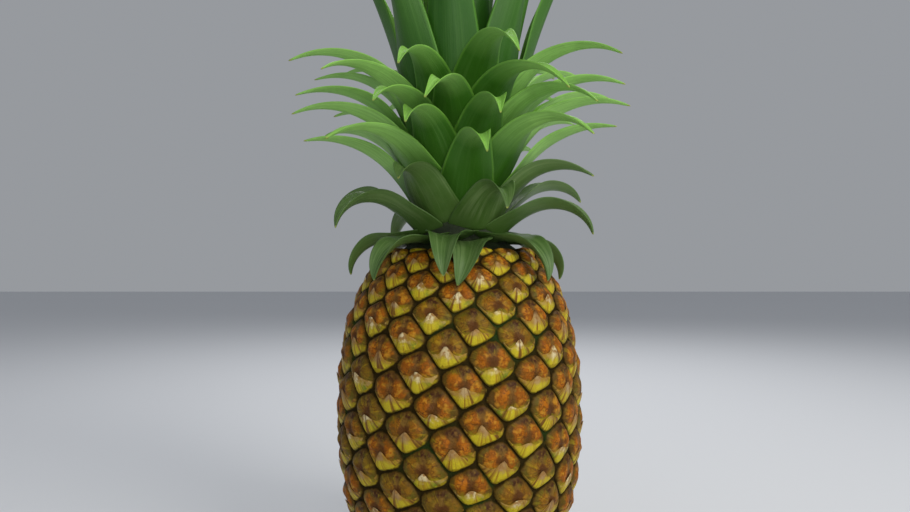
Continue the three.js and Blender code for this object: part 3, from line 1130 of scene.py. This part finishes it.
def makeCrownStem():
    # drawn up level by level from its foot
    foot = crown["stemFoot"]
    levels = (
        (crown["stemFootHeight"], crown["stemRadius"]),
        (crown["stemTaperHeight"], crown["stemRadius"]),
        (crown["stemTop"], crown["stemTopRadius"]),
    )
    deselectAll()
    bpy.ops.mesh.primitive_circle_add(
        vertices=crown["stemSides"],
        radius=crown["stemFootRadius"] * mm,
        fill_type="NGON",
        location=(0, 0, foot * mm),
    )
    stem = bpy.context.object
    stem.name = "crown_stem"
    bpy.ops.object.mode_set(mode="EDIT")
    bpy.ops.mesh.select_all(action="SELECT")
    lastHeight, lastRadius = foot, crown["stemFootRadius"]
    for height, radius in levels:
        move = (0, 0, (height - lastHeight) * mm)
        bpy.ops.mesh.extrude_region_move(TRANSFORM_OT_translate={"value": move})
        shrink = radius / lastRadius
        bpy.ops.transform.resize(value=(shrink, shrink, 1), center_override=(0, 0, height * mm))
        lastHeight, lastRadius = height, radius
    bpy.ops.mesh.select_all(action="SELECT")
    bpy.ops.mesh.normals_make_consistent(inside=False)
    bpy.ops.object.mode_set(mode="OBJECT")
    bpy.ops.object.transform_apply(location=True, rotation=True, scale=True)
    editUnderside(stem)
    bpy.ops.mesh.inset(thickness=crown["stemFootInset"] * mm, depth=0)
    bpy.ops.transform.translate(value=(0, 0, (crown["stemSeat"] - foot) * mm))
    bpy.ops.object.mode_set(mode="OBJECT")
    softenEdges(stem, 0.8, 40)
    return stem


def shadowedStemMaterial():
    material, tree, shader = newMaterial("stemShadowGreen")
    patches, pores = grain(tree, place(tree), 140.0, 900.0)
    # the stem's green, made very dark as painted shade for the shadowed gaps between the leaves
    feed(tree, shader, "Base Color", mixColour(tree, patches, srgb(22, 34, 12), srgb(44, 58, 26)))
    shader.inputs["Roughness"].default_value = 0.75
    addBump(tree, shader, pores, 0.5, 0.0008)
    return material


stemPiece = makeCrownStem()
finishPiece(stemPiece, "crown", shadowedStemMaterial())
print("crown stem done")


# floor, lights and camera

studio = {
    "floorSize": 6.0,
    "floorColour": srgb(214, 216, 220),
    "worldColour": srgb(206, 210, 216),
    "worldStrength": 0.5,
    "cameraPlace": (-0.0022, -0.372, 0.160),
    "cameraLens": 29.7,
    "lightsAim": (0.0, 0.0, 0.15),
    "lights": (  # name, place, size, power and colour
        ("keyLight", (0.6, -0.6, 0.7), 0.5, 5.4, (1.0, 0.97, 0.9)),
        ("frontLight", (0.1, -1.1, 0.3), 0.45, 3.0, (1.0, 0.99, 0.96)),
        ("backLight", (0.1, 0.7, 0.9), 0.8, 5.0, (1.0, 1.0, 1.0)),
    ),
}


def makeStudio():
    deselectAll()
    bpy.ops.mesh.primitive_plane_add(size=studio["floorSize"])
    floor = bpy.context.object
    floor.name = "floor"
    material, tree, shader = newMaterial("paleFloor")
    shader.inputs["Base Color"].default_value = studio["floorColour"]
    shader.inputs["Roughness"].default_value = 0.8
    floor.data.materials.append(material)

    world = bpy.data.worlds.new("softRoom")
    world.use_nodes = True
    sky = world.node_tree.nodes["Background"]
    sky.inputs[0].default_value = studio["worldColour"]
    sky.inputs[1].default_value = studio["worldStrength"]
    bpy.context.scene.world = world

    aim = Vector(studio["lightsAim"])
    for name, spot, size, power, colour in studio["lights"]:
        lamp = bpy.data.lights.new(name, "AREA")
        lamp.shape = "DISK"
        lamp.size = size
        lamp.energy = power
        lamp.color = colour
        holder = bpy.data.objects.new(name, lamp)
        bpy.context.collection.objects.link(holder)
        holder.location = spot
        holder.rotation_euler = (aim - Vector(spot)).to_track_quat("-Z", "Y").to_euler()

    camera = bpy.data.cameras.new("photoCamera")
    camera.sensor_width = 36
    camera.lens = studio["cameraLens"]
    camera.clip_start = 0.01
    holder = bpy.data.objects.new("photoCamera", camera)
    bpy.context.collection.objects.link(holder)
    holder.location = studio["cameraPlace"]
    holder.rotation_euler = Euler((math.radians(90), 0, 0))
    bpy.context.scene.camera = holder
    bpy.context.scene.view_settings.view_transform = "Standard"


makeStudio()
print("studio done")
